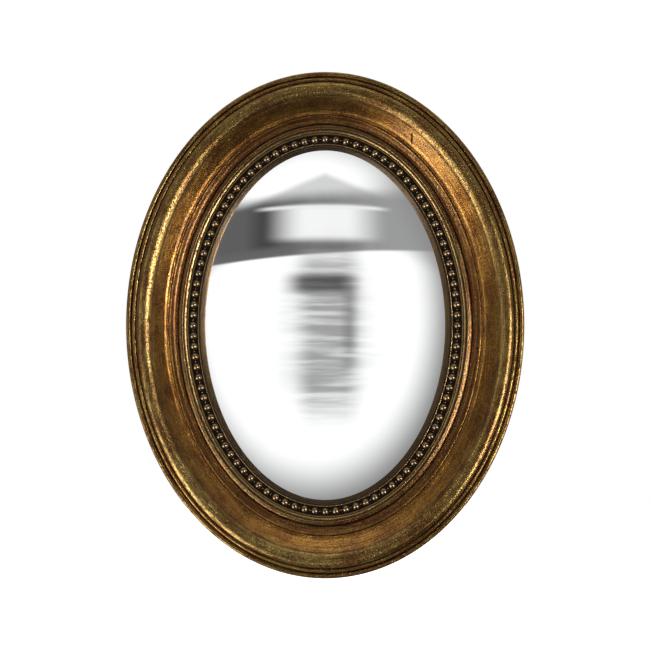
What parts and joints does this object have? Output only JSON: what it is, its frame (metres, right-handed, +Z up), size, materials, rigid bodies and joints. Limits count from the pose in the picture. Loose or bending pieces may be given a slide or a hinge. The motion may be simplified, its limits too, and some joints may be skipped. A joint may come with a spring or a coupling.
{
  "type": "convex butlers mirror",
  "caption": "Oval convex wall mirror with a gilded moulding, a beaded inner channel and a closed back with turn buttons and a hanging ring.",
  "frame": {"origin": "middle of the oval in the plane of the wall, which is the base ring's rear face", "axes": "+X to the viewer's right, +Z up, +Y from the mirror into the wall, so the glass faces -Y"},
  "size_m": [0.291, 0.039, 0.37],
  "materials": {
    "gilding": "antiqued gold leaf over red-brown bole on carved wood, rubbed and speckled",
    "gilded_beads": "antiqued gold on moulded composition, dark wash in the hollows",
    "mirror_glass": "silvered bent glass, smooth",
    "felt": "dark felt strip",
    "card": "pressed card",
    "hardboard": "smooth brown hardboard",
    "stained_wood": "dark umber stain on close-grained wood",
    "brass_plate": "pressed brass, slightly dulled",
    "brass_wire": "drawn brass wire",
    "brass_screw": "turned brass"
  },
  "bodies": {
    "root": {"frame_moulding": "gilding", "bead_course": "gilded_beads", "rebate_felt": "felt", "convex_glass": "mirror_glass", "packing_ring": "card", "backing_board": "hardboard", "base_ring": "stained_wood", "turn_button_screw_1": "brass_screw", "turn_button_screw_2": "brass_screw", "turn_button_screw_3": "brass_screw", "turn_button_screw_4": "brass_screw", "turn_button_screw_5": "brass_screw", "turn_button_screw_6": "brass_screw", "hanger_plate": "brass_plate", "hanger_screw_1": "brass_screw", "hanger_screw_2": "brass_screw"},
    "turn_button_1": {"turn_button_1": "brass_plate"},
    "turn_button_2": {"turn_button_2": "brass_plate"},
    "turn_button_3": {"turn_button_3": "brass_plate"},
    "turn_button_4": {"turn_button_4": "brass_plate"},
    "turn_button_5": {"turn_button_5": "brass_plate"},
    "turn_button_6": {"turn_button_6": "brass_plate"},
    "hanging_ring": {"hanging_ring": "brass_wire"}
  },
  "joints": [
    {"name": "turn_button_1_turn", "type": "hinge", "parent": "root", "child": "turn_button_1", "pos_m": [0.1085, -0.0068, 0], "axis": [0, 1, 0], "continuous": true},
    {"name": "turn_button_2_turn", "type": "hinge", "parent": "root", "child": "turn_button_2", "pos_m": [0.05085, -0.0068, 0.13039], "axis": [0, 1, 0], "continuous": true},
    {"name": "turn_button_3_turn", "type": "hinge", "parent": "root", "child": "turn_button_3", "pos_m": [-0.05085, -0.0068, 0.13039], "axis": [0, 1, 0], "continuous": true},
    {"name": "turn_button_4_turn", "type": "hinge", "parent": "root", "child": "turn_button_4", "pos_m": [-0.1085, -0.0068, 0], "axis": [0, 1, 0], "continuous": true},
    {"name": "turn_button_5_turn", "type": "hinge", "parent": "root", "child": "turn_button_5", "pos_m": [-0.05085, -0.0068, -0.13039], "axis": [0, 1, 0], "continuous": true},
    {"name": "turn_button_6_turn", "type": "hinge", "parent": "root", "child": "turn_button_6", "pos_m": [0.05085, -0.0068, -0.13039], "axis": [0, 1, 0], "continuous": true},
    {"name": "hanging_ring_swing", "type": "hinge", "parent": "root", "child": "hanging_ring", "pos_m": [0, -0.0049, 0.1505], "axis": [1, 0, 0], "range_deg": [0, 180]}
  ]
}
